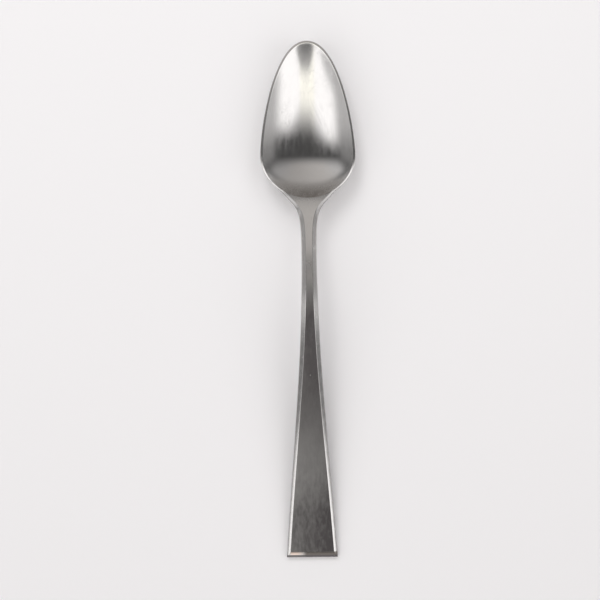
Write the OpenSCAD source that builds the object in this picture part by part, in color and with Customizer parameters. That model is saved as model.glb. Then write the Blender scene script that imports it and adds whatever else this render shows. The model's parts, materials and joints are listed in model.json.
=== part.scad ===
// Teaspoon pressed and forged from one blank of stainless steel.
// The bowl's tip points along +Y, the handle's end along -Y, and the spoon lies on the plane z = 0,
// touching it with the back of the bowl and with the lower edge of the handle's end.
// A place along the spoon is given as its distance from the tip of the bowl.

/* [Overall] */
// Length from the tip of the bowl to the end of the handle
spoon_length = 152; // [140:1:170]

/* [Bowl] */
// Width of the bowl where it is widest
bowl_width = 27.8; // [25:0.1:31]
// Distance from the tip to the widest place
widest_at = 33.7; // [31:0.1:36]
// How bluntly the outline crosses the tip
tip_fullness = 10; // [8:0.1:12]
// How long the outline stays near its full width in front of the widest place
cheek_fullness = 7.1; // [5:0.1:10]
// How long the outline stays near its full width behind the widest place
back_fullness = 6.6; // [5:0.1:8]
// Distance from the tip to the back lip of the hollow
hollow_end = 46; // [44:0.1:48]
// Depth of the hollow below the rim
bowl_depth = 6.4; // [5:0.1:8]
// Distance from the tip to the deepest place
deepest_at = 33; // [30:0.5:34]
// Thickness of the metal at the bottom of the bowl
bowl_wall = 1.25; // [1:0.05:2]
// Width of the flat land around the rim
rim_width = 0.65; // [0.5:0.05:1]
// Height of the rim's outer edge
rim_height = 1; // [0.7:0.05:1.4]
// Fall of the land from the hollow to its outer edge
rim_drop = 0.2; // [0.1:0.05:0.3]
// Angle at which the rim climbs from the tip towards the handle
rim_tilt = 2; // [0:0.5:4]
// Softness of the heel under the back of the bowl
heel_softness = 4.5; // [3:0.1:5]

/* [Shoulder and neck] */
// Distance from the tip to the place where the shoulder's curve turns over
shoulder_at = 45; // [44:0.1:47]
// Width across the shoulders at that place
shoulder_width = 14.2; // [12:0.1:16]
// Angle between the spoon's axis and the outline at the shoulder
shoulder_angle = 41; // [35:1:50]
// Softness of the outline in front of the shoulder
shoulder_roundness = 2.5; // [1:0.1:4]
// How tightly the outline swings from the shoulder into the neck
neck_sweep = 5.9; // [4:0.1:7]
// How long the neck stays near its least width on the bowl's side
neck_reach = 14; // [9:0.1:15]
// Distance from the tip to the narrowest place
neck_at = 62.5; // [60:0.1:66]
// Width of the neck
neck_width = 4.4; // [3.6:0.1:6]
// Thickness of the neck
neck_thickness = 3; // [2.4:0.1:3.6]
// Height of the neck's side faces
neck_side = 1.2; // [0.9:0.1:1.4]
// Angle at which the neck climbs out of the bowl
neck_rise = 14; // [11:0.5:16]
// Distance from the hollow's back lip forward to where the rim starts to climb into the neck
climb_before = 9; // [6:0.5:11]
// Distance from the hollow's back lip back to where the neck climbs steadily
climb_after = 5.5; // [4:0.5:8]

/* [Handle] */
// Width of the square end
end_width = 15.1; // [12:0.1:18]
// Thickness of the handle at its end
end_thickness = 2; // [1.8:0.1:2.6]
// Height of the handle's side faces at its end
end_side = 1; // [0.7:0.1:1]
// Angle between the spoon's axis and the handle's edges at the end
end_flare = 4; // [2:0.1:6]
// How long the neck's slimness runs into the handle
slim_length = 29.5; // [20:0.5:35]
// How long the edges run almost straight before the end
straight_length = 40; // [30:0.5:45]
// Angle at which the handle still falls where it ends
end_fall = 7; // [4:0.5:9]
// Distance from the tip to the start of the arch over the neck
arch_from = 57; // [54:1:60]
// Distance from the tip to the end of the arch
arch_to = 92; // [86:1:104]
// Distance from the end of the handle to the start of its upward curl
curl_from_end = 35; // [20:1:36]
// Share of the handle's underside that is flat, between its rounded lower edges
underside_flat = 0.8; // [0.6:0.05:0.85]

/* [Bevels] */
// Width of the bevel beside the neck's flat top
neck_bevel = 1.3; // [0.9:0.05:1.5]
// Fall of that bevel
neck_bevel_drop = 1.1; // [0.7:0.05:1.2]
// Width of the bevel along the sides and the end of the handle
end_bevel = 1; // [0.6:0.05:1.4]
// Fall of that bevel
end_bevel_drop = 0.6; // [0.4:0.05:0.7]
// Width of the small break along every outer top edge
edge_break = 0.2; // [0.1:0.05:0.3]

/* [Hidden] */

// Colour of the steel
steel = [0.69, 0.68, 0.67];
// Facets along each stretch of the outline, and across half of the top or the back
front_steps = 26;
back_steps = 12;
neck_steps = 16;
handle_steps = 30;
half_steps = 10;

// Stretches of the side profile that bend, as distances from the tip
climb_from = hollow_end - climb_before;
climb_to = hollow_end + climb_after;
curl_from = spoon_length - curl_from_end;
curl_to = spoon_length;
// Places where the bowl's wall reaches its full thickness and the neck its own section
wall_full_at = widest_at / 2;
neck_full_at = neck_at - neck_reach / 2;
// Slopes of the side profile
rim_slope = tan(rim_tilt);
neck_slope = tan(neck_rise);
end_slope = -tan(end_fall);

function clamp(value) = max(0, min(1, value));

// Smooth rise from 0 to 1 between two places
function ease(from, to, t) = let (v = clamp((t - from) / (to - from))) v * v * (3 - 2 * v);

// Height gained by a slope that eases from 0 to 1 between two places
function eased_run(from, to, t) =
    let (span = to - from, v = clamp((t - from) / span))
    span * (v ^ 3 - v ^ 4 / 2) + max(0, t - to);

// The larger of a value and 0, with the corner rounded off
function soft_positive(value, softness) =
    value >= softness ? value
    : value <= -softness ? 0
    : (value + softness) ^ 2 / (4 * softness);

// Point of a cubic curve with four handles
function curve(p, u) =
    (1 - u) ^ 3 * p[0] + 3 * (1 - u) ^ 2 * u * p[1] + 3 * (1 - u) * u ^ 2 * p[2] + u ^ 3 * p[3];

// Outline of half the spoon as [distance from the tip, distance from the axis]
widest = [widest_at, bowl_width / 2];
shoulder = [shoulder_at, shoulder_width / 2];
shoulder_way = [cos(shoulder_angle), -sin(shoulder_angle)];
neck = [neck_at, neck_width / 2];
handle_end = [spoon_length, end_width / 2];
flare_way = [cos(end_flare), sin(end_flare)];
front_outline = [[0, 0], [0, tip_fullness], widest - [cheek_fullness, 0], widest];
back_outline = [widest, widest + [back_fullness, 0], shoulder - shoulder_roundness * shoulder_way, shoulder];
neck_outline = [shoulder, shoulder + neck_sweep * shoulder_way, neck - [neck_reach, 0], neck];
handle_outline = [neck, neck + [slim_length, 0], handle_end - straight_length * flare_way, handle_end];

// Edge of the hollow, one land inside the outline in front and an ellipse behind
mouth_half = bowl_width / 2 - rim_width;
front_mouth = [
    [rim_width, 0],
    [rim_width, tip_fullness - rim_width],
    widest - [cheek_fullness, rim_width],
    widest - [0, rim_width],
];
function back_mouth(t) =
    mouth_half * sqrt(max(0, 1 - ((t - widest_at) / (hollow_end - widest_at)) ^ 2));

// Depth of a hollow along the axis: a long curve falls from its front, a short one climbs to the back lip
function scoop(front, t) =
    let (run = t < deepest_at ? deepest_at - front : hollow_end - deepest_at)
    bowl_depth * (1 - ((t - deepest_at) / run) ^ 2);
function hollow_depth(t) = max(0, scoop(rim_width, t));
function back_bulge(t) = t < deepest_at ? scoop(0, t) : soft_positive(scoop(0, t), heel_softness);

// Metal between the top and the back along the axis
rim_thickness = rim_drop + rim_height;
function metal(t) =
    rim_thickness
    + (bowl_wall - rim_thickness) * ease(0, wall_full_at, t)
    + (neck_thickness - bowl_wall) * ease(widest_at, neck_full_at, t)
    + (end_thickness - neck_thickness) * ease(neck_at, spoon_length, t);

// Height of the side faces, and flat share of the back
function side_height(t) =
    rim_height
    + (neck_side - rim_height) * ease(widest_at, neck_at, t)
    + (end_side - neck_side) * ease(neck_at, spoon_length, t);
function flat_share(t) = underside_flat * ease(hollow_end, neck_at + slim_length, t);

// Bevel between the flat top and the side faces
function bevel(t) =
    rim_width
    + (neck_bevel - rim_width) * ease(widest_at, neck_full_at, t)
    + (end_bevel - neck_bevel) * ease(neck_at, spoon_length, t);
function bevel_drop(t) =
    rim_drop
    + (neck_bevel_drop - rim_drop) * ease(widest_at, neck_full_at, t)
    + (end_bevel_drop - neck_bevel_drop) * ease(neck_at, spoon_length, t);

// A station is [place of its top, place of its outline, half width of its top, half width, fall of its top]
function top_place(s) = s[0];
function edge_place(s) = s[1];
function top_half(s) = s[2];
function half(s) = s[3];
function top_fall(s) = s[4];
front_stations = [
    for (i = [0 : front_steps])
        let (inner = curve(front_mouth, i / front_steps), outer = curve(front_outline, i / front_steps))
        [inner.x, outer.x, inner.y, outer.y, 0]
];
function station(p) = [p.x, p.x, max(back_mouth(p.x), p.y - bevel(p.x)), p.y, 0];
back_stations = [for (i = [1 : back_steps]) station(curve(back_outline, i / back_steps))];
neck_stations = [for (i = [1 : neck_steps]) station(curve(neck_outline, i / neck_steps))];
bevel_start = spoon_length - end_bevel;
handle_stations = [
    for (i = [1 : handle_steps])
        let (p = curve(handle_outline, i / handle_steps))
        if (p.x < bevel_start - edge_break) station(p)
];
// The end's bevel meets the side bevels in a mitre
function mitre_station(t, share) =
    let (edge = handle_end.y - (spoon_length - t) * tan(end_flare))
    [t, t, edge - end_bevel * (1 - share), edge, end_bevel_drop * share];
break_share = 1 - edge_break / end_bevel;
end_stations = [
    mitre_station(bevel_start, 0),
    mitre_station(spoon_length - edge_break, break_share),
    [
        spoon_length,
        spoon_length,
        handle_end.y - edge_break,
        handle_end.y,
        end_bevel_drop * break_share + edge_break,
    ],
];
stations = concat(front_stations, back_stations, neck_stations, handle_stations, end_stations);

// Side profile: the rim climbs, the neck climbs faster, the arch turns down and the end curls up
function rim_line(t) = rim_slope * t + (neck_slope - rim_slope) * eased_run(climb_from, climb_to, t);
bowl_places = [for (s = concat(front_stations, back_stations)) edge_place(s)];
rim_lift = -min([for (t = bowl_places) rim_line(t) - metal(t) - back_bulge(t)]);
arch_run = eased_run(arch_from, arch_to, spoon_length);
curl_run = eased_run(curl_from, curl_to, spoon_length);
turn = end_slope - neck_slope;
arch_bend = (end_thickness - rim_lift - rim_line(spoon_length) - turn * curl_run) / (arch_run - curl_run);
curl_bend = turn - arch_bend;
function crown(t) =
    rim_lift + rim_line(t)
    + arch_bend * eased_run(arch_from, arch_to, t)
    + curl_bend * eased_run(curl_from, curl_to, t);
function keel(t) = crown(t) - metal(t) - back_bulge(t);

// A place along the spoon, across it and above the table as a point of the part
function place(t, x, z) = [x + 0, spoon_length / 2 - t, z];

// Top of the spoon, hollowed inside the mouth
function top_point(s, u) =
    let (
        t = top_place(s),
        x = u * top_half(s),
        mouth = t > widest_at ? back_mouth(t) : top_half(s),
        inside = mouth > 0 ? max(0, 1 - (x / mouth) ^ 2) : 0
    )
    place(t, x, crown(t) - top_fall(s) - hollow_depth(t) * inside);

// Right or left edge of the top: the foot of the bevel, then the top of the side face
function bevel_foot(s, side) =
    let (
        t = edge_place(s),
        inner = [top_place(s), top_half(s), top_fall(s)],
        outer = [t, half(s), bevel_drop(t)],
        width = norm([outer.x - inner.x, outer.y - inner.y]),
        foot = outer + (inner - outer) * min(edge_break / width, 1 / 2)
    )
    place(foot.x, side * foot.y, crown(t) - foot.z);
function side_top(s, side) =
    let (t = edge_place(s))
    place(t, side * half(s), crown(t) - max(bevel_drop(t), top_fall(s)) - edge_break);

// Back of the spoon, from the foot of the right side face to that of the left
function back_point(s, angle) =
    let (
        t = edge_place(s),
        v = sin(angle),
        edge = crown(t) - bevel_drop(t) - side_height(t),
        bend = max(0, abs(v) - flat_share(t)) / (1 - flat_share(t)),
        share = half(s) > 0 ? 1 - bend ^ 2 : 0
    )
    place(t, v * half(s), edge - (edge - keel(t)) * share);

// One closed ring of points around the spoon at a station
function ring(s) = concat(
    [for (j = [-half_steps : half_steps]) top_point(s, j / half_steps)],
    [bevel_foot(s, 1), side_top(s, 1)],
    [for (j = [half_steps : -1 : -half_steps]) back_point(s, 90 * j / half_steps)],
    [side_top(s, -1), bevel_foot(s, -1)]
);

rings = [for (s = stations) ring(s)];
ring_size = len(rings[0]);
last_ring = (len(rings) - 1) * ring_size;
end_centre = place(spoon_length, 0, end_thickness / 2);
surface_points = concat([for (r = rings) each r], [end_centre]);

// Triangles between neighbouring rings, without those that shrink to nothing at the tip
function is_real(f) =
    let (p = [for (i = f) surface_points[i]])
    norm(cross(p[1] - p[0], p[2] - p[0])) > 0;
loft_faces = [
    for (i = [0 : len(rings) - 2], j = [0 : ring_size - 1])
        let (
            a = i * ring_size + j,
            b = i * ring_size + (j + 1) % ring_size,
            c = b + ring_size,
            d = a + ring_size
        )
        for (f = [[a, b, c], [a, c, d]]) if (is_real(f)) f
];
end_faces = [
    for (j = [0 : ring_size - 1])
        [last_ring + j, last_ring + (j + 1) % ring_size, len(surface_points) - 1]
];

// The whole spoon: bowl, neck and handle are one piece of metal
module spoon_body() {
    color(steel)
        polyhedron(points = surface_points, faces = concat(loft_faces, end_faces), convexity = 6);
}

spoon_body();
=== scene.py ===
"""Teaspoon of worn satin steel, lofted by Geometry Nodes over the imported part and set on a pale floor."""

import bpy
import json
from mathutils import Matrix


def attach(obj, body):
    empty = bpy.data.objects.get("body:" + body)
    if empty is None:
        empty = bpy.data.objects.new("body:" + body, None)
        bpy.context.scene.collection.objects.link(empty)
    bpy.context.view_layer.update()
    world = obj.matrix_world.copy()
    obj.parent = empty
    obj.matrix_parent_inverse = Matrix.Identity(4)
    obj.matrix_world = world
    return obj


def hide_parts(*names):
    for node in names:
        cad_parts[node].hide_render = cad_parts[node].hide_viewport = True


bl_info = {
    "name": "Worn Teaspoon",
    "version": (1, 0, 0),
    "blender": (4, 5, 0),
    "location": "View3D > Sidebar > Teaspoon",
    "description": "Builds a one-piece steel teaspoon with a lofted bowl, bevelled neck and square end",
    "category": "Object",
}

import json
import math
from types import SimpleNamespace

import bpy
from bpy.props import FloatProperty, FloatVectorProperty, PointerProperty
from mathutils import Vector

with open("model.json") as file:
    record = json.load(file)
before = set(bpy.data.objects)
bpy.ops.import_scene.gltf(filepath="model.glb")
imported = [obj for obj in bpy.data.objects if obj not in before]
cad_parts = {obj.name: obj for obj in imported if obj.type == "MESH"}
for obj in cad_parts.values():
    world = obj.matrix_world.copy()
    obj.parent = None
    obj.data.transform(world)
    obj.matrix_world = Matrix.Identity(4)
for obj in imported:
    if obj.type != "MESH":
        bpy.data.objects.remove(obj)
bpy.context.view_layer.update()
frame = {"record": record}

NODE = "spoon_body"
BODY = "root"
PIECE = "worn_teaspoon"
RECORD_STEEL = tuple(frame["record"]["materials"][0]["base_color"])
MM = 0.001


def length(name, description, millimetres):
    """A size of the spoon, written in millimetres and kept in metres."""
    metres = millimetres * MM
    return FloatProperty(name=name, description=description, default=metres, unit="LENGTH", precision=6)


def angle(name, description, degrees):
    """An angle of the spoon, written in degrees and kept in radians."""
    return FloatProperty(name=name, description=description, default=math.radians(degrees), subtype="ANGLE")


def share(name, description, value):
    """A number from 0 to 1."""
    return FloatProperty(name=name, description=description, default=value, min=0, max=1, subtype="FACTOR")


def light(name, description, value):
    """A radiance in the studio, where 1 is white."""
    return FloatProperty(name=name, description=description, default=value, min=0)


def colour(name, description, value):
    """A colour in linear light."""
    return FloatVectorProperty(name=name, description=description, default=value, size=3, subtype="COLOR")


class SpoonSizes(bpy.types.PropertyGroup):
    """Sizes of the spoon. Places are distances from the tip of the bowl."""

    spoon_length: length("Spoon Length", "From the tip of the bowl to the end of the handle", 152)
    bowl_width: length("Bowl Width", "Where the bowl is widest", 27.8)
    widest_at: length("Widest At", "Place where the bowl is widest", 33.7)
    tip_fullness: length("Tip Fullness", "How bluntly the outline crosses the tip", 10)
    cheek_fullness: length("Cheek Fullness", "How long the outline stays wide before the widest place", 7.1)
    back_fullness: length("Back Fullness", "How long the outline stays wide behind it", 6.6)
    hollow_end: length("Hollow End", "Place of the hollow's back lip", 46)
    bowl_depth: length("Bowl Depth", "Depth of the hollow below the rim", 6.4)
    deepest_at: length("Deepest At", "Place where the hollow is deepest", 33)
    bowl_wall: length("Bowl Wall", "Metal at the bottom of the bowl", 1.25)
    rim_width: length("Rim Width", "Width of the land around the rim", 0.65)
    rim_height: length("Rim Height", "Height of the rim's outer face", 1)
    rim_drop: length("Rim Drop", "Fall of the land towards its outer edge", 0.2)
    rim_tilt: angle("Rim Tilt", "Climb of the rim towards the handle", 2)
    heel_softness: length("Heel Softness", "Softness of the heel under the back of the bowl", 4.5)
    lip_softness: length("Lip Softness", "Rounding of the hollow's lip at the rim", 0.05)
    back_lip_softness: length("Back Lip Softness", "Rounding of the hollow's lip in front of the neck", 0.4)
    shoulder_at: length("Shoulder At", "Place where the shoulder's curve turns over", 45)
    shoulder_width: length("Shoulder Width", "Width across the shoulders there", 14.2)
    shoulder_angle: angle("Shoulder Angle", "Between the axis and the outline at the shoulder", 41)
    shoulder_roundness: length("Shoulder Roundness", "Softness of the outline in front of the shoulder", 2.5)
    neck_sweep: length("Neck Sweep", "How tightly the outline swings into the neck", 5.9)
    neck_reach: length("Neck Reach", "How long the neck stays slim on the bowl's side", 14)
    neck_at: length("Neck At", "Narrowest place", 62.5)
    neck_width: length("Neck Width", "Width of the neck", 4.4)
    neck_thickness: length("Neck Thickness", "Thickness of the neck", 3)
    neck_side: length("Neck Side", "Height of the neck's side faces", 1.2)
    neck_rise: angle("Neck Rise", "Climb of the neck out of the bowl", 14)
    climb_before: length("Climb Before", "From the back lip forward to the start of the climb", 9)
    climb_after: length("Climb After", "From the back lip back to the steady climb", 5.5)
    end_width: length("End Width", "Width of the square end", 15.1)
    end_thickness: length("End Thickness", "Thickness of the handle at its end", 2)
    end_side: length("End Side", "Height of the side faces at the end", 1)
    end_flare: angle("End Flare", "Between the axis and the handle's edges at the end", 4)
    slim_length: length("Slim Length", "How long the neck's slimness runs into the handle", 29.5)
    straight_length: length("Straight Length", "How long the edges run almost straight before the end", 40)
    end_fall: angle("End Fall", "Fall of the handle where it ends", 7)
    arch_from: length("Arch From", "Place where the arch over the neck starts", 57)
    arch_to: length("Arch To", "Place where the arch ends", 92)
    curl_from_end: length("Curl From End", "From the end to the start of the upward curl", 35)
    underside_flat: share("Underside Flat", "Share of the handle's underside that is flat", 0.8)
    neck_bevel: length("Neck Bevel", "Width of the bevel beside the neck's flat top", 1.3)
    neck_bevel_drop: length("Neck Bevel Drop", "Fall of that bevel", 1.1)
    end_bevel: length("End Bevel", "Width of the bevel along the sides and end of the handle", 1)
    end_bevel_drop: length("End Bevel Drop", "Fall of that bevel", 0.6)
    edge_break: length("Edge Break", "Rounding of every outer top edge", 0.2)
    lower_edge: length("Lower Edge", "Rounding of the edges around the underside", 0.35)


class SteelFinish(bpy.types.PropertyGroup):
    """Colours and polish of the steel, some of them painted light and shade."""

    steel: colour("Steel", "Colour of the clean metal", RECORD_STEEL)
    # Patina on the handle's top that is mostly a painted dark reflection; also painted shade along the end's
    # foot
    tarnish: colour("Tarnish", "Colour of the dulled face of the handle", (0.126, 0.1175, 0.1205))
    # Painted shade: a brown darkening at the back lip and a darker reflection on the right of the end's bevel
    stain: colour("Stain", "Colour of the brown stain at the back lip and on the end", (0.2, 0.18, 0.165))
    # Lighter rubbed steel, also painted as a brighter reflection on the neck's top and bevels
    rubbed_steel: colour("Rubbed Steel", "Colour of the metal that fingers rub bright", (0.86, 0.84, 0.82))
    # Painted highlight: the warm glint on the end's bevel
    warm_glint: colour("Warm Glint", "Colour of the warm mark on the end's bevel", (1.0, 0.8, 0.68))
    bowl_roughness: share("Bowl Roughness", "Roughness of the polished hollow", 0.13)
    handle_roughness: share("Handle Roughness", "Roughness of the satin handle", 0.33)
    edge_roughness: share("Edge Roughness", "Roughness of the rim and the bevels", 0.2)


class StageLook(bpy.types.PropertyGroup):
    """Floor, light and camera."""

    wall_tint: colour("Wall Tint", "Tint of the studio's light", (1.0, 0.985, 0.985))
    gap_tint: colour("Gap Tint", "Tint of the field's warm middle", (1.0, 0.98, 0.9))
    back_tint: colour("Back Tint", "Tint of the grey side", (1.0, 0.96, 0.93))
    floor_colour: colour("Floor", "Colour of the pale floor", (0.927, 0.916, 0.929))
    wall_light: light("Wall Light", "Radiance of the bright sides", 1.5)
    back_light: light("Back Light", "Radiance of the grey side", 0.53)
    shade_light: light("Shade Light", "Radiance of the shaded ceiling", 0.075)
    haze_light: light("Haze Light", "Radiance low around the floor", 0.65)
    gap_light: light("Gap Light", "Radiance of the field's warm middle", 1.52)
    strip_light: light("Strip Light", "Radiance of the grey strip on the left", 0.6)
    backdrop_light: share("Backdrop Light", "Radiance of the plain backdrop behind the floor", 0.88)
    card_light: light("Card Light", "Radiance of the dark card", 0.45)
    lamp_power: FloatProperty(
        name="Lamp Power", description="Power of the soft lamps", default=2.95, min=0, unit="POWER"
    )
    camera_height: length("Camera Height", "Height of the camera over the floor", 339)
    camera_angle: angle("Camera Angle", "Angle of view", 29.5)
    camera_roll: angle("Camera Roll", "Turn of the picture", -0.68)


class Field:
    """A number that may vary over a surface. Arithmetic on it lays out Math nodes in its tree."""

    def __init__(self, tree, socket):
        self.tree = tree
        self.socket = socket

    def __add__(self, other):
        return math_node("ADD", self, other)

    def __radd__(self, other):
        return math_node("ADD", other, self)

    def __sub__(self, other):
        return math_node("SUBTRACT", self, other)

    def __rsub__(self, other):
        return math_node("SUBTRACT", other, self)

    def __mul__(self, other):
        return math_node("MULTIPLY", self, other)

    def __rmul__(self, other):
        return math_node("MULTIPLY", other, self)

    def __truediv__(self, other):
        return math_node("DIVIDE", self, other)

    def __rtruediv__(self, other):
        return math_node("DIVIDE", other, self)

    def __neg__(self):
        return math_node("MULTIPLY", self, -1.0)


def feed(tree, socket, value):
    """Links a field to a socket, or writes a plain value into it."""
    if isinstance(value, Field):
        tree.links.new(value.socket, socket)
    else:
        socket.default_value = value


def math_node(operation, *values):
    """The result of one Math node."""
    tree = next(value.tree for value in values if isinstance(value, Field))
    node = tree.nodes.new("ShaderNodeMath")
    node.operation = operation
    for socket, value in zip(node.inputs, values):
        feed(tree, socket, value)
    return Field(tree, node.outputs[0])


def larger(a, b):
    """The larger of two numbers."""
    return math_node("MAXIMUM", a, b)


def smaller(a, b):
    """The smaller of two numbers."""
    return math_node("MINIMUM", a, b)


def root(a):
    """The square root."""
    return math_node("SQRT", a)


def above(a, b):
    """1 where a is over b, else 0."""
    return math_node("GREATER_THAN", a, b)


def part(value, start, stop):
    """How far a value has come from start to stop, held between 0 and 1."""
    result = (value - start) / (stop - start)
    result.socket.node.use_clamp = True
    return result


def ease(start, stop, value):
    """Smooth rise from 0 to 1 between two places."""
    tree = next(v.tree for v in (value, start, stop) if isinstance(v, Field))
    node = tree.nodes.new("ShaderNodeMapRange")
    node.interpolation_type = "SMOOTHSTEP"
    for name, number in (("Value", value), ("From Min", start), ("From Max", stop)):
        feed(tree, node.inputs[name], number)
    return Field(tree, node.outputs["Result"])


def blend(a, b, amount):
    """From a to b by an amount from 0 to 1."""
    return a + (b - a) * amount


def eased_run(start, stop, place):
    """Height gained by a slope that eases from 0 to 1 between two places."""
    span = stop - start
    v = part(place, start, stop)
    return span * (v * v * v * (1.0 - v / 2.0)) + larger(place - stop, 0.0)


def curve_steps(points, u):
    """How far a cubic curve has gone from its first handle, along and across."""
    rest = 1.0 - u
    weights = (3.0 * rest * rest * u, 3.0 * rest * u * u, u * u * u)

    def gone(axis):
        first, *others = (w * (p[axis] - points[0][axis]) for w, p in zip(weights, points[1:]))
        return sum(others, first)

    return [gone(axis) for axis in (0, 1)]


# Rows and columns of the grid, and the share of them at which each stretch ends: along the spoon from the tip,
# and across it from the middle of the top to the middle of the underside
ROWS = 470
COLUMNS = 185
ROW_ENDS = {
    "front": 0.28,
    "back": 0.46,
    "neck": 0.6,
    "handle": 0.92,
    "end_bevel": 0.95,
    "end_edge": 0.975,
    "cap": 1.0,
}
COLUMN_ENDS = {"top": 0.5, "bevel": 0.6, "edge": 0.66, "side": 0.69, "lower_edge": 0.76, "underside": 1.0}
# Rounding of the crease beside the flat top at the neck and at the end, as a share of the bevel
CREASE = 0.008, 0.05
# Bulge of the bevels near the end
BEVEL_BULGE = 0.3
# Length of handle in front of the end's bevel that has rows of its own, and rounding of the end's corners
END_LEAD = 0.4 * MM
END_CORNER = 0.12 * MM
# Share of those rows that still belongs to the face in front of the bevel
END_LEAD_SHARE = 0.21
# How far the end's bevel reaches into the handle, as a share of the bevels along the sides
END_REACH = 1.8
# Distance under which points are one, and angle over which an edge is shaded sharp
SEAM = 2e-7
SHARP = math.radians(50)
# Waviness of the bevels: length of a wave, apartness of the two sides, and its share of the fall
WEAR_LENGTH = 2.5 * MM
WEAR_SIDES = 7.0
WEAR_DEPTH = 0.25
# Soft lamps over the left and the right of the floor: place, size and share of the power
LAMPS = {"left_lamp": ((-0.22, 0.52, 0.68), 0.4, 0.74), "right_lamp": ((0.34, 0.48, 0.68), 0.4, 0.26)}
# Where the camera hangs beside the middle of the spoon
CAMERA_PLACE = -2.77 * MM, 0.24 * MM
# Distances from the spoon over which the floor runs into the backdrop
FLOOR_FADE = 0.16, 0.5
FLOOR_HALF = 4.0
FLOOR_ROUGHNESS = 0.7
FLOOR_SHINE = 0.2
# Steps in the search for the lowest place under the bowl
PROFILE_STEPS = 600
# Depth of the bump of the brushed lines
BUMP_DEPTH = 0.01 * MM
# How dark the darker marks and the painted shade on the edges are, as a share of the steel
DARK_EDGE_AND_SHADE = 0.55
# Stretches of the finish along the spoon, in millimetres from its middle towards the bowl:
# where each starts, is full, starts to fade and is gone
STRETCHES = {
    "bend": (-28, -8, 6, 16),
    # Painted lighter reflection in a band on the handle's top
    "lighter_reflection_band": (-64, -50, -47, -30),
    # Painted brighter reflection on the neck's top
    "neck_face": (2, 8, 28.5, 30),
    "back_lip": (26, 30, 32, 38),
    # Painted darker reflection on the upper bevels and on the shoulders
    "upper_edges": (-46, -30, -12, 0),
    "shoulders": (24.5, 26.5, 31, 34),
    # Painted brighter reflection on the neck's bevels
    "neck_edges": (0, 12, 26, 32),
}
# Finish that is full from the handle's end up to a first place and gone at a second
RUNS = {
    "handle": (-6, 16),
    # Painted lighter and darker reflection on the handle's top towards its end
    "lower_end": (-60, -30),
    "lower_half": (-34, -14),
    "last": (-66, -56),
    # Painted shade at the hollow's back lip
    "lip": (29, 36.5),
    # Painted shade on the rim's outer edge
    "outer_edges": (26, 34),
    "end_bevel": (-74.4, -74),
    # Painted shade along the end's foot
    "end_foot": (-75.35, -75.05),
}
# Where the end face turns into the top, and places across the end's bevel: painted shade, left and right of
# the painted highlight
END_TURN = -76 * MM, -75.92 * MM
END_SHADE_FROM = -3.5 * MM, -1.5 * MM
PAINTED_GLINT_FROM = -6.9 * MM, -6 * MM
PAINTED_GLINT_TO = -5 * MM, -1.8 * MM
# Share of the painted shade along the foot that the end face itself gets
END_FACE_SHADE_SHARE = 0.45


def stretches(value, ends):
    """How far a value has come through each stretch of a table of ends."""
    start, result = 0.0, {}
    for name, stop in ends.items():
        result[name] = part(value, start, stop)
        start = stop
    return SimpleNamespace(**result)


def side_profile(z):
    """Lift of the rim and the two bends of the handle that set the spoon down on its bowl and its end."""

    def smooth(a, b, t):
        v = max(0.0, min(1.0, (t - a) / (b - a)))
        return v * v * (3 - 2 * v)

    def run(a, b, t):
        v = max(0.0, min(1.0, (t - a) / (b - a)))
        return (b - a) * (v**3 - v**4 / 2) + max(0.0, t - b)

    def rim(t):
        climb = run(z.hollow_end - z.climb_before, z.hollow_end + z.climb_after, t)
        return math.tan(z.rim_tilt) * t + (math.tan(z.neck_rise) - math.tan(z.rim_tilt)) * climb

    def metal(t):
        edge = z.rim_drop + z.rim_height
        bowl = smooth(0, z.widest_at / 2, t)
        neck = smooth(z.widest_at, z.neck_at - z.neck_reach / 2, t)
        return edge + (z.bowl_wall - edge) * bowl + (z.neck_thickness - z.bowl_wall) * neck

    def bulge(t):
        return z.bowl_depth * (1 - ((t - z.deepest_at) / z.deepest_at) ** 2)

    places = [z.deepest_at * i / PROFILE_STEPS for i in range(PROFILE_STEPS + 1)]
    lift = -min(rim(t) - metal(t) - bulge(t) for t in places)
    arch = run(z.arch_from, z.arch_to, z.spoon_length)
    curl = run(z.spoon_length - z.curl_from_end, z.spoon_length, z.spoon_length)
    turn = -math.tan(z.end_fall) - math.tan(z.neck_rise)
    arch_bend = (z.end_thickness - lift - rim(z.spoon_length) - turn * curl) / (arch - curl)
    return {"rim_lift": lift, "arch_bend": arch_bend, "curl_bend": turn - arch_bend}


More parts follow.
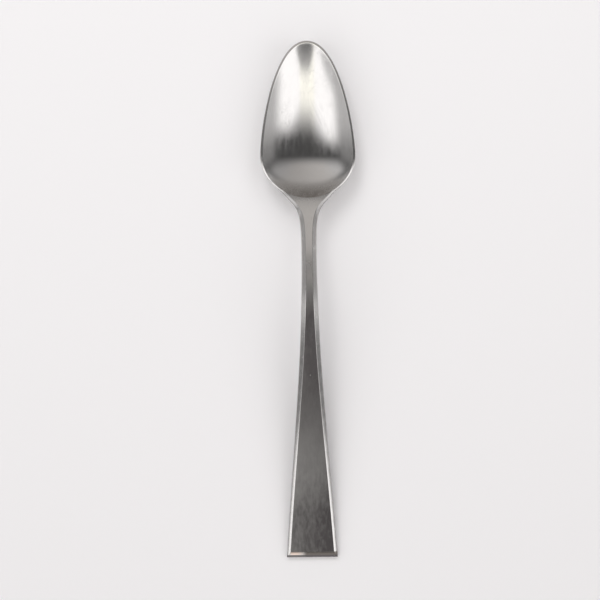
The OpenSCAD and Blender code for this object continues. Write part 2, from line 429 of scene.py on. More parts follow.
def outline(z, rows):
    """Place and half width of the outline, and of the top's edge inside it."""
    sine, cosine = math_node("SINE", z.shoulder_angle), math_node("COSINE", z.shoulder_angle)
    flare_sine, flare_cosine = math_node("SINE", z.end_flare), math_node("COSINE", z.end_flare)
    half = z.bowl_width / 2.0
    shoulder = (z.shoulder_at, z.shoulder_width / 2.0)
    neck = (z.neck_at, z.neck_width / 2.0)
    end = (z.spoon_length, z.end_width / 2.0)
    curves = {
        "front": [
            (0.0, 0.0),
            (0.0, z.tip_fullness),
            (z.widest_at - z.cheek_fullness, half),
            (z.widest_at, half),
        ],
        "back": [
            (z.widest_at, half),
            (z.widest_at + z.back_fullness, half),
            (shoulder[0] - z.shoulder_roundness * cosine, shoulder[1] + z.shoulder_roundness * sine),
            shoulder,
        ],
        "neck": [
            shoulder,
            (shoulder[0] + z.neck_sweep * cosine, shoulder[1] - z.neck_sweep * sine),
            (neck[0] - z.neck_reach, neck[1]),
            neck,
        ],
        "handle": [
            neck,
            (neck[0] + z.slim_length, neck[1]),
            (end[0] - z.straight_length * flare_cosine, end[1] - z.straight_length * flare_sine),
            end,
        ],
    }
    # The last rows follow the distance that is left to the end
    pace = 3.0 * z.straight_length * flare_cosine
    lead = z.end_bevel * END_REACH + END_LEAD
    turned = rows.end_edge * (math.pi / 2)
    left = lead - (lead - z.edge_break) * rows.end_bevel - z.edge_break * math_node("SINE", turned)
    rows.handle = rows.handle * (1.0 - lead / pace) + (lead - left) / pace

    steps = {name: curve_steps(points, getattr(rows, name)) for name, points in curves.items()}
    behind = steps["back"][0] + steps["neck"][0] + steps["handle"][0]
    place = steps["front"][0] + behind
    width = steps["front"][1] + steps["back"][1] + steps["neck"][1] + steps["handle"][1]
    land = z.rim_width
    mouth = [
        (land, 0.0),
        (land, z.tip_fullness - land),
        (z.widest_at - z.cheek_fullness, half - land),
        (z.widest_at, half - land),
    ]
    inner = curve_steps(mouth, rows.front)
    return SimpleNamespace(
        place=place,
        half=width,
        top_place=inner[0] + land + behind,
        front_mouth=inner[1],
        left=left,
        end_drop=z.edge_break * (1.0 - math_node("COSINE", turned)),
        end_inset=END_CORNER * (1.0 - math_node("COSINE", turned)),
    )


def shape_fields(z, u, v):
    """Where a point of the loft lies, and what part of the spoon it belongs to."""
    columns_at = math_node("ABSOLUTE", v * 2.0 - 1.0)
    side_sign = math_node("SIGN", v * 2.0 - 1.0)
    rows = stretches(1.0 - u, ROW_ENDS)
    columns = stretches(columns_at, COLUMN_ENDS)
    line = outline(z, rows)

    def thickening(at_rim, at_neck, at_end, t, start=z.widest_at):
        neck_full = z.neck_at - z.neck_reach / 2.0
        return (
            at_rim
            + (at_neck - at_rim) * ease(start, neck_full, t)
            + (at_end - at_neck) * ease(z.neck_at, z.spoon_length, t)
        )

    # Edge of the flat top: the hollow's mouth in front, the bevel behind
    back = line.place - z.widest_at
    mouth_half = z.bowl_width / 2.0 - z.rim_width
    mouth_run = z.hollow_end - z.widest_at
    behind_mouth = mouth_half * root(larger(1.0 - back * back / (mouth_run * mouth_run), 0.0))
    beside_bevel = line.half - thickening(z.rim_width, z.neck_bevel, z.end_bevel, line.place)
    in_back = above(1.0 - u, ROW_ENDS["front"])
    top_half = blend(line.front_mouth, larger(behind_mouth, beside_bevel), in_back)

    # Across the bevel and round the outer edge
    along_line = line.place - line.top_place
    across_line = line.half - top_half
    band = root(along_line * along_line + across_line * across_line)
    edge = smaller(z.edge_break, band / 2.0)
    turned = columns.edge * (math.pi / 2)
    f = columns.bevel * (1.0 - edge / band) + edge / band * math_node("SINE", turned)
    t = line.top_place + f * along_line
    spread = 1.0 - columns.top
    upper_x = top_half * (1.0 - spread * root(spread)) + f * across_line

    # Side profile
    neck_slope, rim_slope = math_node("TANGENT", z.neck_rise), math_node("TANGENT", z.rim_tilt)
    climb = eased_run(z.hollow_end - z.climb_before, z.hollow_end + z.climb_after, t)
    crown = (
        z.rim_lift
        + rim_slope * t
        + (neck_slope - rim_slope) * climb
        + z.arch_bend * eased_run(z.arch_from, z.arch_to, t)
        + z.curl_bend * eased_run(z.spoon_length - z.curl_from_end, z.spoon_length, t)
    )

    # The hollow, with its lip rounded off
    late = above(t, z.deepest_at)
    from_deepest = t - z.deepest_at

    def scoop(front):
        reach = blend(z.deepest_at - front, z.hollow_end - z.deepest_at, late)
        share_along = from_deepest / reach
        return z.bowl_depth * (1.0 - share_along * share_along)

    depth = scoop(z.rim_width)
    in_front = upper_x / larger(line.front_mouth, SEAM)
    climb_share = mouth_run / (z.hollow_end - z.deepest_at)
    both = z.hollow_end + t
    widening = climb_share * climb_share * (both - 2.0 * z.deepest_at) / (both - 2.0 * z.widest_at)
    across_back = z.bowl_depth * widening * upper_x * upper_x / (mouth_half * mouth_half)
    raw = depth - blend(depth * in_front * in_front, across_back, in_back)
    hollow = larger(raw, 0.0)
    lip = blend(z.lip_softness, z.back_lip_softness, ease(z.widest_at + z.back_fullness, z.hollow_end, t))
    sunk = hollow * hollow / (hollow + lip)

    # The bevels along the sides and across the end
    bevel_drop = thickening(z.rim_drop, z.neck_bevel_drop, z.end_bevel_drop, t, z.widest_at + z.back_fullness)

    def creased(q, amount):
        crease = blend(CREASE[0], CREASE[1], amount)
        flat = q * q * (1.0 + crease) / (q + crease)
        return blend(flat, q * q, BEVEL_BULGE * amount)

    tree = z.neck_at.tree
    place_on_edge = tree.nodes.new("ShaderNodeCombineXYZ")
    for socket, value in zip(place_on_edge.inputs, (t / WEAR_LENGTH, side_sign * WEAR_SIDES, 0.0)):
        feed(tree, socket, value)
    worn = noise(tree, place_on_edge.outputs[0], 2.0, 0.6, 21.0) - 0.5
    bevel_drop = bevel_drop * (1.0 + WEAR_DEPTH * worn * ease(z.neck_at, z.arch_to, t))

    end_reach = z.end_bevel * END_REACH
    end_share = part(end_reach - line.left, 0.0, end_reach)
    end_fall = z.end_bevel_drop * creased(end_share, 1.0)
    side_fall = bevel_drop * creased(f, ease(z.arch_to, z.spoon_length - z.end_bevel, t))
    edge_fall = larger(edge * (1.0 - math_node("COSINE", turned)), line.end_drop)
    upper_z = crown - sunk - larger(side_fall, end_fall) - edge_fall

    # The side faces, the lower edges and the underside
    side_height = thickening(z.rim_height, z.neck_side, z.end_side, t)
    rim_thickness = z.rim_drop + z.rim_height
    metal = thickening(z.bowl_wall, z.neck_thickness, z.end_thickness, t)
    metal = metal + (rim_thickness - z.bowl_wall) * (1.0 - ease(0.0, z.widest_at / 2.0, t))
    bulge = scoop(0.0)
    held = smaller(larger(bulge, -z.heel_softness), z.heel_softness) + z.heel_softness
    soft_bulge = held * held / (4.0 * z.heel_softness) + larger(bulge - z.heel_softness, 0.0)
    keel = crown - metal - blend(bulge, soft_bulge, late)
    foot = crown - bevel_drop - side_height
    flat = z.underside_flat * ease(z.hollow_end, z.neck_at + z.slim_length, t)
    rounding = smaller(smaller(z.lower_edge, line.half * 0.4), side_height * 0.35)
    inset = rounding / larger(line.half, SEAM)
    across = (1.0 - inset * columns.lower_edge * columns.lower_edge) * (1.0 - columns.underside)
    bend = larger(across - flat, 0.0) / (1.0 - flat)
    back_z = foot - (foot - keel) * (1.0 - bend * bend)
    low_rest = 1.0 - columns.lower_edge
    side_top = crown - larger(bevel_drop, end_fall) - larger(edge, line.end_drop)
    side_left = (side_top - foot - rounding) * (1.0 - columns.side)
    lower_z = back_z + rounding * low_rest * low_rest + side_left
    lower_z = larger(lower_z, keel + line.end_inset)

    lower = above(columns_at, COLUMN_ENDS["edge"])
    x = blend(upper_x, line.half * across, lower)
    x = smaller(x, line.half - line.end_inset)
    height = blend(upper_z, lower_z, lower)
    end_middle = crown - z.end_thickness / 2.0
    kept = 1.0 - rows.cap
    return SimpleNamespace(
        x=side_sign * x * kept,
        y=z.spoon_length / 2.0 - t,
        z=end_middle + (height - end_middle) * kept,
        outer=ease(0.0, 0.35, columns.edge) * (1.0 - lower),
        lip=ease(-0.25 * MM, 0.0, raw) * in_back * (1.0 - lower),
        on_edge=larger(
            above(columns_at, COLUMN_ENDS["top"]) * above(COLUMN_ENDS["lower_edge"], columns_at),
            above(rows.end_bevel, END_LEAD_SHARE),
        ),
    )


def build_loft(sizes, face_steel, edge_steel):
    """A tree that bends a flat grid into the spoon, with an input for every size."""
    tree = bpy.data.node_groups.new("spoon_loft", "GeometryNodeTree")
    tree.interface.new_socket("Spoon", in_out="OUTPUT", socket_type="NodeSocketGeometry")
    identifiers = {}
    for key in sizes:
        label = key.replace("_", " ").title()
        socket = tree.interface.new_socket(label, in_out="INPUT", socket_type="NodeSocketFloat")
        identifiers[key] = socket.identifier
    given = tree.nodes.new("NodeGroupInput")
    z = SimpleNamespace(**{key: Field(tree, given.outputs[i]) for i, key in enumerate(sizes)})

    grid = tree.nodes.new("GeometryNodeMeshGrid")
    grid.inputs["Vertices X"].default_value = COLUMNS
    grid.inputs["Vertices Y"].default_value = ROWS
    split = tree.nodes.new("ShaderNodeSeparateXYZ")
    tree.links.new(grid.outputs["UV Map"], split.inputs[0])
    shape = shape_fields(z, Field(tree, split.outputs["Y"]), Field(tree, split.outputs["X"]))

    point = tree.nodes.new("ShaderNodeCombineXYZ")
    for socket, value in zip(point.inputs, (shape.x, shape.y, shape.z)):
        feed(tree, socket, value)
    geometry = grid.outputs["Mesh"]
    for name in ("outer", "lip"):
        keep = tree.nodes.new("GeometryNodeStoreNamedAttribute")
        keep.data_type = "FLOAT"
        keep.domain = "POINT"
        keep.inputs["Name"].default_value = name
        tree.links.new(geometry, keep.inputs["Geometry"])
        feed(tree, keep.inputs["Value"], getattr(shape, name))
        geometry = keep.outputs["Geometry"]

    def then(kind, socket=0, **values):
        """One more node on the way of the geometry."""
        nonlocal geometry
        node = tree.nodes.new(kind)
        tree.links.new(geometry, node.inputs[socket])
        for name, value in values.items():
            feed(tree, node.inputs[name.replace("_", " ")], value)
        geometry = node.outputs[0]
        return node

    move = then("GeometryNodeSetPosition")
    tree.links.new(point.outputs[0], move.inputs["Position"])
    then("GeometryNodeMergeByDistance", Distance=SEAM)
    then("GeometryNodeSetShadeSmooth", Shade_Smooth=True)
    edges = tree.nodes.new("GeometryNodeInputMeshEdgeAngle")
    sharp = above(Field(tree, edges.outputs["Unsigned Angle"]), SHARP)
    crisp = then("GeometryNodeSetShadeSmooth", Shade_Smooth=False, Selection=sharp)
    crisp.domain = "EDGE"
    then("GeometryNodeRealizeInstances")
    then("GeometryNodeSetMaterial", Material=face_steel)
    then("GeometryNodeSetMaterial", Material=edge_steel, Selection=shape.on_edge)
    result = tree.nodes.new("NodeGroupOutput")
    tree.links.new(geometry, result.inputs[0])
    return tree, identifiers


def new_group(name, inputs, outputs):
    """An empty shader group with named sockets, its tree and its fields."""
    tree = bpy.data.node_groups.new(name, "ShaderNodeTree")
    for label, kind, value in inputs:
        socket = tree.interface.new_socket(label, in_out="INPUT", socket_type=kind)
        if value is not None:
            socket.default_value = value
    for label, kind in outputs:
        tree.interface.new_socket(label, in_out="OUTPUT", socket_type=kind)
    return tree, tree.nodes.new("NodeGroupInput"), tree.nodes.new("NodeGroupOutput")


def stretched(tree, position, sizes):
    """A position measured in steps of a size along each axis."""
    combine = tree.nodes.new("ShaderNodeCombineXYZ")
    for socket, size in zip(combine.inputs, sizes):
        feed(tree, socket, 1.0 / size)
    scale = tree.nodes.new("ShaderNodeVectorMath")
    scale.operation = "MULTIPLY"
    tree.links.new(position, scale.inputs[0])
    tree.links.new(combine.outputs[0], scale.inputs[1])
    return scale.outputs[0]


def noise(tree, vector, detail, roughness, seed):
    """A noise field with one step of its vector as its size."""
    node = tree.nodes.new("ShaderNodeTexNoise")
    node.noise_dimensions = "4D"
    node.inputs["Scale"].default_value = 1.0
    node.inputs["Detail"].default_value = detail
    node.inputs["Roughness"].default_value = roughness
    node.inputs["W"].default_value = seed
    tree.links.new(vector, node.inputs["Vector"])
    return Field(tree, node.outputs[0])


def mixed(tree, first, second, amount):
    """A colour between two colours."""
    node = tree.nodes.new("ShaderNodeMix")
    node.data_type = "RGBA"
    feed(tree, node.inputs["Factor"], amount)
    for socket, value in ((node.inputs["A"], first), (node.inputs["B"], second)):
        if isinstance(value, bpy.types.NodeSocket):
            tree.links.new(value, socket)
        else:
            socket.default_value = (*value, 1.0)
    return node.outputs["Result"]


VECTOR, VALUE = "NodeSocketVector", "NodeSocketFloat"


def brushing_group():
    """Fine lines along the spoon."""
    tree, given, result = new_group(
        "lengthwise_brushing",
        [("Position", VECTOR, None), ("Line Width", VALUE, 0.2 * MM), ("Line Length", VALUE, 12 * MM)],
        [("Lines", VALUE)],
    )
    width, run = Field(tree, given.outputs["Line Width"]), Field(tree, given.outputs["Line Length"])
    lines = noise(tree, stretched(tree, given.outputs["Position"], (width, run, width)), 3.0, 0.6, 3.0)
    feed(tree, result.inputs["Lines"], lines)
    return tree


def smear_group():
    """Cloudy marks that run along the spoon."""
    tree, given, result = new_group(
        "cloudy_smears",
        [("Position", VECTOR, None), ("Mark Size", VALUE, 2 * MM)],
        [("Smears", VALUE)],
    )
    size = Field(tree, given.outputs["Mark Size"])
    vector = stretched(tree, given.outputs["Position"], (size, size * 3.0, size))
    feed(tree, result.inputs["Smears"], ease(0.3, 0.7, noise(tree, vector, 4.0, 0.6, 11.0)))
    return tree


def scratch_group():
    """Stray scratches in three directions, thinned out by patches."""
    tree, given, result = new_group(
        "stray_scratches",
        [("Position", VECTOR, None), ("Scratch Width", VALUE, 0.12 * MM)],
        [("Scratches", VALUE)],
    )
    width = Field(tree, given.outputs["Scratch Width"])
    total = None
    for seed, degrees in ((5.0, 9.0), (8.0, -24.0), (13.0, 62.0)):
        turn = tree.nodes.new("ShaderNodeVectorRotate")
        turn.rotation_type = "Z_AXIS"
        turn.inputs["Angle"].default_value = math.radians(degrees)
        tree.links.new(given.outputs["Position"], turn.inputs["Vector"])
        fine, cell = width * 6.0, width * 40.0
        line = noise(tree, stretched(tree, turn.outputs[0], (fine, width * 90.0, fine)), 1.0, 0.4, seed)
        patch = noise(tree, stretched(tree, turn.outputs[0], (cell, cell, cell)), 1.0, 0.5, seed + 0.5)
        thin = 1.0 - ease(0.0, 0.012, math_node("ABSOLUTE", line - 0.5))
        mark = thin * ease(0.55, 0.7, patch)
        total = mark if total is None else larger(total, mark)
    feed(tree, result.inputs["Scratches"], total)
    return tree


def nick_group():
    """Small pits and nicks."""
    tree, given, result = new_group(
        "small_nicks",
        [("Position", VECTOR, None), ("Spacing", VALUE, 2 * MM), ("Nick Size", VALUE, 0.1)],
        [("Nicks", VALUE)],
    )
    gap = Field(tree, given.outputs["Spacing"])
    cells = tree.nodes.new("ShaderNodeTexVoronoi")
    cells.inputs["Scale"].default_value = 1.0
    tree.links.new(stretched(tree, given.outputs["Position"], (gap, gap * 1.6, gap)), cells.inputs["Vector"])
    split = tree.nodes.new("ShaderNodeSeparateXYZ")
    tree.links.new(cells.outputs["Color"], split.inputs[0])
    size = Field(tree, given.outputs["Nick Size"]) * ease(0.5, 1.0, Field(tree, split.outputs["X"]))
    distance = Field(tree, cells.outputs["Distance"])
    feed(tree, result.inputs["Nicks"], 1.0 - ease(size * 0.4, size + 0.001, distance))
    return tree


class SteelNodes:
    """One steel material with the shared groups placed in it."""

    def __init__(self, name, groups):
        self.material = bpy.data.materials.new(name)
        self.material.use_nodes = True
        self.tree = self.material.node_tree
        self.shader = self.tree.nodes["Principled BSDF"]
        self.shader.inputs["Metallic"].default_value = 1.0
        self.groups = groups
        self.coordinates = self.tree.nodes.new("ShaderNodeTexCoord")
        split = self.tree.nodes.new("ShaderNodeSeparateXYZ")
        self.tree.links.new(self.coordinates.outputs["Object"], split.inputs[0])
        self.across = Field(self.tree, split.outputs["X"])
        self.along = Field(self.tree, split.outputs["Y"])

    def effect(self, group, **values):
        """The single output of a shared group, fed with the object's coordinates."""
        node = self.tree.nodes.new("ShaderNodeGroup")
        node.node_tree = self.groups[group]
        self.tree.links.new(self.coordinates.outputs["Object"], node.inputs["Position"])
        for name, value in values.items():
            node.inputs[name.replace("_", " ")].default_value = value
        return Field(self.tree, node.outputs[0])

    def mask(self, name):
        """A mask that the loft left on the mesh."""
        node = self.tree.nodes.new("ShaderNodeAttribute")
        node.attribute_name = name
        return Field(self.tree, node.outputs["Fac"])

    def stretch(self, name):
        """1 on a stretch along the spoon, 0 away from it."""
        start, full, fade, gone = (place * MM for place in STRETCHES[name])
        return ease(start, full, self.along) * (1.0 - ease(fade, gone, self.along))

    def run(self, name):
        """1 from the handle's end up to a place, 0 past it."""
        full, gone = (place * MM for place in RUNS[name])
        return 1.0 - ease(full, gone, self.along)

    def mix(self, first, second, amount):
        """A colour between two colours."""
        return mixed(self.tree, first, second, amount)

    def shade(self, base, amount):
        """A colour made darker by an amount below 1, or lighter by one above it."""
        node = self.tree.nodes.new("ShaderNodeVectorMath")
        node.operation = "SCALE"
        self.tree.links.new(base, node.inputs[0])
        feed(self.tree, node.inputs["Scale"], amount)
        return node.outputs[0]

    def finish(self, base, roughness, height, depth):
        """Feeds colour, roughness and bump to the shader."""
        self.tree.links.new(base, self.shader.inputs["Base Color"])
        feed(self.tree, self.shader.inputs["Roughness"], roughness)
        bump = self.tree.nodes.new("ShaderNodeBump")
        bump.inputs["Distance"].default_value = depth
        feed(self.tree, bump.inputs["Height"], height)
        self.tree.links.new(bump.outputs[0], self.shader.inputs["Normal"])
        return self.material


def face_material(groups, finish):
    """The hollow, the flat top and the underside: polished in the bowl, satin and smeared on the handle, whose
    top is darkened by patina and by a painted dark reflection.
    """
    nodes = SteelNodes("satin_face_steel", groups)
    lines = nodes.effect("brushing", Line_Width=0.25 * MM, Line_Length=14 * MM)
    smears = nodes.effect("smears", Mark_Size=1.1 * MM)
    clouds = nodes.effect("smears", Mark_Size=7 * MM)
    scratches = nodes.effect("scratches", Scratch_Width=0.12 * MM)
    nicks = nodes.effect("nicks", Spacing=2.4 * MM, Nick_Size=0.12)
    handle, lower_end = nodes.run("handle"), nodes.run("lower_end")
    # Patina and painted dark reflection on the handle's top: painted lighter in its lower half and in a band
    # towards the end, darker on the last part and towards the right
    tarnish_and_reflection_amount = 0.97 + 0.06 * clouds - 0.165 * nodes.run("lower_half")
    tarnish_and_reflection_amount = handle * (tarnish_and_reflection_amount - 0.215 * nodes.stretch("lighter_reflection_band") + 0.05 * nodes.run("last"))
    tarnish_and_reflection_amount = tarnish_and_reflection_amount + lower_end * ((smears - 0.5) * 0.16 + nodes.across * 14.0)
    tarnish_and_reflection_amount = tarnish_and_reflection_amount + handle * ((smears - 0.5) * 0.06 + nodes.across * 9.0)
    # Painted sheen: the neck's top is mixed towards lighter steel for a brighter reflection there
    base = nodes.mix(finish.steel, finish.rubbed_steel, nodes.stretch("neck_face"))
    base = nodes.mix(base, finish.tarnish, tarnish_and_reflection_amount)
    bright_marks = handle * (nicks * ease(0.45, 0.6, clouds) + scratches * 0.06)
    base = nodes.mix(base, finish.rubbed_steel, bright_marks)
    shading = 1.0 - ((lines - 0.5) * 0.1 + 0.02 + scratches * 0.05 * (1.0 - handle))
    base = nodes.shade(base, shading)
    # Painted shade: the hollow's back lip is darkened brown
    lip = nodes.mask("lip") * nodes.run("lip")
    base = nodes.mix(base, finish.stain, lip * (0.8 + 0.2 * smears))
    roughness = blend(finish.bowl_roughness, finish.handle_roughness, handle)
    roughness = roughness + nodes.stretch("bend") * 0.2 + 0.15 * nodes.stretch("back_lip")
    roughness = roughness + (lines - 0.5) * 0.12 + (smears - 0.5) * 0.05 + scratches * 0.06
    height = lines * (0.12 + 0.88 * handle) - scratches * 0.4 - nicks * 0.8
    return nodes.finish(base, roughness, height, BUMP_DEPTH)


def edge_material(groups, finish):
    """The rim, the bevels and the side faces: brighter worn metal with nicks, with painted shade on the rim's
    outer edge, the upper bevels and the shoulders, and painted light at the neck and the end.
    """
    nodes = SteelNodes("worn_edge_steel", groups)
    lines = nodes.effect("brushing", Line_Width=0.18 * MM, Line_Length=5 * MM)
    scratches = nodes.effect("scratches", Scratch_Width=0.1 * MM)
    nicks = nodes.effect("nicks", Spacing=1.7 * MM, Nick_Size=0.16)
    # Dark steel for nick marks and for painted shade on the edges
    dark = tuple(c * DARK_EDGE_AND_SHADE for c in finish.steel)
    outer = nodes.mask("outer") * nodes.run("outer_edges")
    wear_and_painted_shade = (lines - 0.5) * 0.4 + nicks * 0.3 + 0.05
    # Painted shade: the upper bevels, the shoulders and the rim's outer edge are darkened
    wear_and_painted_shade = wear_and_painted_shade + nodes.stretch("upper_edges") * 0.85 + nodes.stretch("shoulders") * 0.9 + outer * 0.8
    # Painted sheen: the neck's bevels are mixed towards lighter steel for a brighter reflection
    base = nodes.mix(finish.steel, finish.rubbed_steel, nodes.stretch("neck_edges"))
    base = nodes.mix(base, dark, larger(wear_and_painted_shade, 0.0))
    # The bevel across the end: a painted darker reflection on the right, a painted warm highlight on the left,
    # painted shade along its foot
    on_top = ease(*END_TURN, nodes.along)
    at_end = on_top * nodes.run("end_bevel")
    base = nodes.mix(base, finish.stain, at_end * ease(*END_SHADE_FROM, nodes.across))
    # Painted shade: the end's foot, and part of the end face, are darkened for the shade under the end's edge
    foot = (END_FACE_SHADE_SHARE + (1.0 - END_FACE_SHADE_SHARE) * on_top) * nodes.run("end_foot")
    painted_glint = at_end * (1.0 - ease(*PAINTED_GLINT_TO, nodes.across)) * ease(*PAINTED_GLINT_FROM, nodes.across) * (1.0 - foot)
    base = nodes.mix(base, finish.warm_glint, painted_glint * 0.85)
    base = nodes.mix(base, finish.tarnish, foot * 0.9)
    roughness = finish.edge_roughness + (lines - 0.5) * 0.15 + scratches * 0.1 - 0.08 * painted_glint
    return nodes.finish(base, roughness, lines * 0.3 - nicks * 4.0 - scratches * 0.4, BUMP_DEPTH)


class TEASPOON_OT_body(bpy.types.Operator):
    """Loft the spoon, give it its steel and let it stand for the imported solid."""

    bl_idname = "teaspoon.body"
    bl_label = "Spoon Body"

    def execute(self, context):
        sizes = context.scene.teaspoon_sizes
        finish = context.scene.teaspoon_finish
        values = {key: getattr(sizes, key) for key in SpoonSizes.__annotations__}
        values.update(side_profile(SimpleNamespace(**values)))
        groups = {
            "brushing": brushing_group(),
            "smears": smear_group(),
            "scratches": scratch_group(),
            "nicks": nick_group(),
        }
        tree, identifiers = build_loft(values, face_material(groups, finish), edge_material(groups, finish))
        piece = bpy.data.objects.new(PIECE, bpy.data.meshes.new(PIECE))
        context.scene.collection.objects.link(piece)
        loft = piece.modifiers.new("loft", "NODES")
        loft.node_group = tree
        for key, identifier in identifiers.items():
            loft[identifier] = values[key]
        graph = context.evaluated_depsgraph_get()
        lofted = piece.evaluated_get(graph)
        mesh = bpy.data.meshes.new_from_object(lofted, preserve_all_data_layers=True, depsgraph=graph)
        if not mesh.polygons:
            raise RuntimeError("the loft of the spoon came out empty")
        piece.modifiers.clear()
        piece.data = mesh
        while mesh.materials[0] is None:
            mesh.materials.pop(index=0)
        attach(piece, BODY)
        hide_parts(NODE)
        return {"FINISHED"}


def bright_field(look, d):
    """The bright field overhead with a warmer middle: its light, where it is lit, and its middle."""
    light_edge = 0.145 * ease(0.0, 0.8, -d.across) + 0.09 * ease(0.2, 0.8, d.across) - 0.055
    softness = 0.15 - 0.1 * ease(0.2, 0.8, d.aside)
    lit = 1.0 - ease(light_edge - softness, light_edge + softness, d.ahead)
    middle = 1.0 - ease(0.24, 0.42, d.aside)
    slant = d.near - 0.7 * d.across
    strip = ease(0.7, 0.78, slant) * (1.0 - ease(0.8, 0.88, slant))
    wall = blend(blend(look.wall_light, look.strip_light, strip), look.gap_light, middle)
    return wall, lit, middle


def dark_card(look, d):
    """The dark card on the near side: its light, and where it hangs."""
    half = 0.2 + 0.22 * ease(0.3, 0.42, d.near)
    edge = 0.09 + 0.11 * ease(0.36, 0.5, d.near)
    card = 1.0 - ease(half - edge, half + edge, math_node("ABSOLUTE", d.across - 0.09))
    darkest = look.card_light * (0.2 + 0.7 * ease(0.52, 0.68, d.near))
    return blend(look.card_light, darkest, ease(0.36, 0.48, d.near)), card * ease(0.27, 0.36, d.near)


def low_haze(look, d, behind):
    """The grey low around the floor: its light, and how far it has cleared at a height."""
    far_side = ease(0.0, 0.12, d.ahead)
    low_near = ease(0.1, 0.26, d.near)
    low_front = ease(0.72, 0.86, d.near)
    haze = blend(look.haze_light * (1.0 - 0.65 * low_near), look.haze_light * 0.25, far_side)
    haze = blend(haze, look.haze_light * (0.65 - 0.4 * ease(0.3, 0.75, d.aside)), behind)
    haze = haze + 0.12 * ease(0.88, 0.97, d.aside) * far_side
    haze = blend(haze, look.haze_light * 1.5, low_front)
    left_side = ease(0.2, 0.8, -d.across) * (1.0 - low_near)
    clear_from = 0.2 + 0.07 * left_side - 0.2 * behind + 0.25 * low_front
    clear_to = 0.55 + 0.03 * left_side - 0.1 * low_near - 0.32 * behind + 0.2 * low_front
    return haze, ease(clear_from, clear_to, d.up)


def studio_light(world, look):
    """Grey studio around the spoon. Its places are parts of a direction: across, ahead to the tip, and up."""
    tree = world.node_tree
    background = tree.nodes["Background"]
    where = tree.nodes.new("ShaderNodeTexCoord")
    split = tree.nodes.new("ShaderNodeSeparateXYZ")
    tree.links.new(where.outputs["Generated"], split.inputs[0])
    across, ahead, up = (Field(tree, split.outputs[axis]) for axis in "XYZ")
    d = SimpleNamespace(across=across, ahead=ahead, up=up, aside=math_node("ABSOLUTE", across), near=-ahead)
    wall, lit, middle = bright_field(look, d)
    card_level, card = dark_card(look, d)
    # The grey wall on the far side
    behind = ease(0.15, 0.64, d.ahead)
    back = look.back_light * (1.0 - 0.3 * d.across)
    level = blend(blend(look.shade_light, back, behind), wall, lit)
    level = blend(level, card_level, card)
    haze, cleared = low_haze(look, d, behind)
    level = blend(haze, level, cleared)
    # A plain pale backdrop for the eye, which the metal shows along the horizon too
    rays = tree.nodes.new("ShaderNodeLightPath")
    direct, mirrored = (Field(tree, rays.outputs[name]) for name in ("Is Camera Ray", "Is Glossy Ray"))
    seen = larger(direct, mirrored * (1.0 - ease(0.01, 0.05, d.up)))
    feed(tree, background.inputs["Strength"], blend(level, look.backdrop_light, seen))
    warm = lit * middle * (1.0 - card)
    grey = behind * (1.0 - ease(0.4, 0.8, d.aside))
    tint = look.wall_tint
    for shade, amount in ((look.gap_tint, warm), (look.back_tint, grey)):
        tint = mixed(tree, tint, shade, amount * (1.0 - seen))
    tree.links.new(tint, background.inputs["Color"])


def floor_paint(look):
    """Pale matt paint that runs into the backdrop away from the spoon."""
    paint = bpy.data.materials.new("pale_floor_paint")
    paint.use_nodes = True
    tree = paint.node_tree
    shader = tree.nodes["Principled BSDF"]
    shader.inputs["Base Color"].default_value = (*look.floor_colour, 1.0)
    shader.inputs["Roughness"].default_value = FLOOR_ROUGHNESS
    shader.inputs["Specular IOR Level"].default_value = FLOOR_SHINE
    glow = tree.nodes.new("ShaderNodeEmission")
    glow.inputs["Color"].default_value = (*look.wall_tint, 1.0)
    glow.inputs["Strength"].default_value = look.backdrop_light
    rays = tree.nodes.new("ShaderNodeLightPath")
    seen = larger(*(Field(tree, rays.outputs[name]) for name in ("Is Camera Ray", "Is Glossy Ray")))
    where = tree.nodes.new("ShaderNodeTexCoord")
    distance = tree.nodes.new("ShaderNodeVectorMath")
    distance.operation = "LENGTH"
    tree.links.new(where.outputs["Object"], distance.inputs[0])
    away = ease(*FLOOR_FADE, Field(tree, distance.outputs["Value"]))
    fade = tree.nodes.new("ShaderNodeMixShader")
    feed(tree, fade.inputs[0], seen * away)
    tree.links.new(shader.outputs[0], fade.inputs[1])
    tree.links.new(glow.outputs[0], fade.inputs[2])
    tree.links.new(fade.outputs[0], tree.nodes["Material Output"].inputs["Surface"])
    return paint


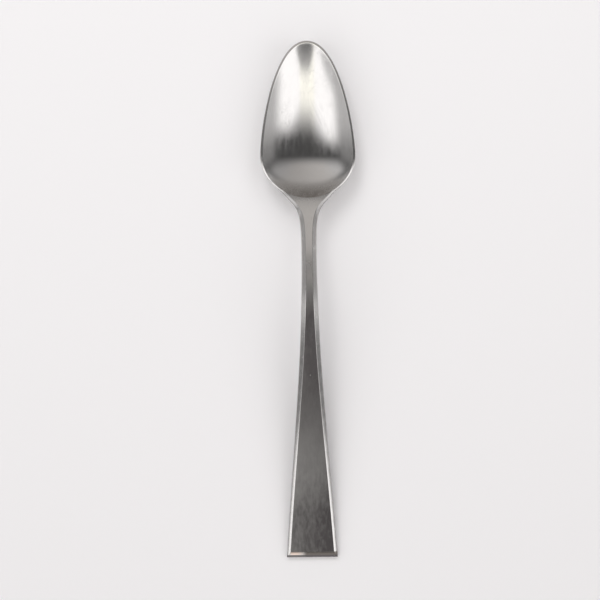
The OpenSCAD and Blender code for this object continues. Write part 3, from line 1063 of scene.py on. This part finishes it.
class TEASPOON_OT_stage(bpy.types.Operator):
    """Lay the pale floor, light it softly and hang the camera over the spoon."""

    bl_idname = "teaspoon.stage"
    bl_label = "Stage"

    def execute(self, context):
        look = context.scene.teaspoon_stage
        corners = [(x * FLOOR_HALF, y * FLOOR_HALF, 0.0) for x, y in ((-1, -1), (1, -1), (1, 1), (-1, 1))]
        mesh = bpy.data.meshes.new("pale_floor")
        mesh.from_pydata(corners, [], [(0, 1, 2, 3)])
        mesh.materials.append(floor_paint(look))
        floor = bpy.data.objects.new("pale_floor", mesh)
        context.scene.collection.objects.link(floor)

        world = bpy.data.worlds.new("grey_studio")
        world.use_nodes = True
        studio_light(world, look)
        context.scene.world = world

        for name, (place, size, power_share) in LAMPS.items():
            lamp = bpy.data.objects.new(name, bpy.data.lights.new(name, "AREA"))
            lamp.data.energy = look.lamp_power * power_share
            lamp.data.shape = "SQUARE"
            lamp.data.size = size
            lamp.location = place
            lamp.rotation_euler = (-Vector(place)).to_track_quat("-Z", "Y").to_euler()
            lamp.visible_glossy = False
            lamp.visible_camera = False
            context.scene.collection.objects.link(lamp)

        camera = bpy.data.objects.new("overhead_camera", bpy.data.cameras.new("overhead_camera"))
        camera.data.angle = look.camera_angle
        camera.location = (*CAMERA_PLACE, look.camera_height)
        camera.rotation_euler = (0.0, 0.0, look.camera_roll)
        context.scene.collection.objects.link(camera)
        context.scene.camera = camera
        context.scene.view_settings.view_transform = "Standard"
        return {"FINISHED"}


class TEASPOON_PT_parts(bpy.types.Panel):
    """Parts of the teaspoon and the sizes and finishes they are made from."""

    bl_idname = "TEASPOON_PT_parts"
    bl_label = "Teaspoon"
    bl_space_type = "VIEW_3D"
    bl_region_type = "UI"
    bl_category = "Teaspoon"

    def draw(self, context):
        for operator in OPERATORS:
            self.layout.operator(operator.bl_idname)
        for name, group in GROUPS.items():
            box = self.layout.box()
            for key in group.__annotations__:
                box.prop(getattr(context.scene, name), key)


GROUPS = {"teaspoon_sizes": SpoonSizes, "teaspoon_finish": SteelFinish, "teaspoon_stage": StageLook}
OPERATORS = (TEASPOON_OT_body, TEASPOON_OT_stage)
CLASSES = (*GROUPS.values(), *OPERATORS, TEASPOON_PT_parts)


def register():
    """Adds the classes and the scene's settings."""
    for cls in CLASSES:
        bpy.utils.register_class(cls)
    for name, group in GROUPS.items():
        setattr(bpy.types.Scene, name, PointerProperty(type=group))


def unregister():
    """Takes them away again."""
    for name in GROUPS:
        delattr(bpy.types.Scene, name)
    for cls in reversed(CLASSES):
        bpy.utils.unregister_class(cls)


def main():
    """Builds the spoon and its stage."""
    register()
    bpy.ops.teaspoon.body()
    bpy.ops.teaspoon.stage()


if __name__ == "__main__":
    main()
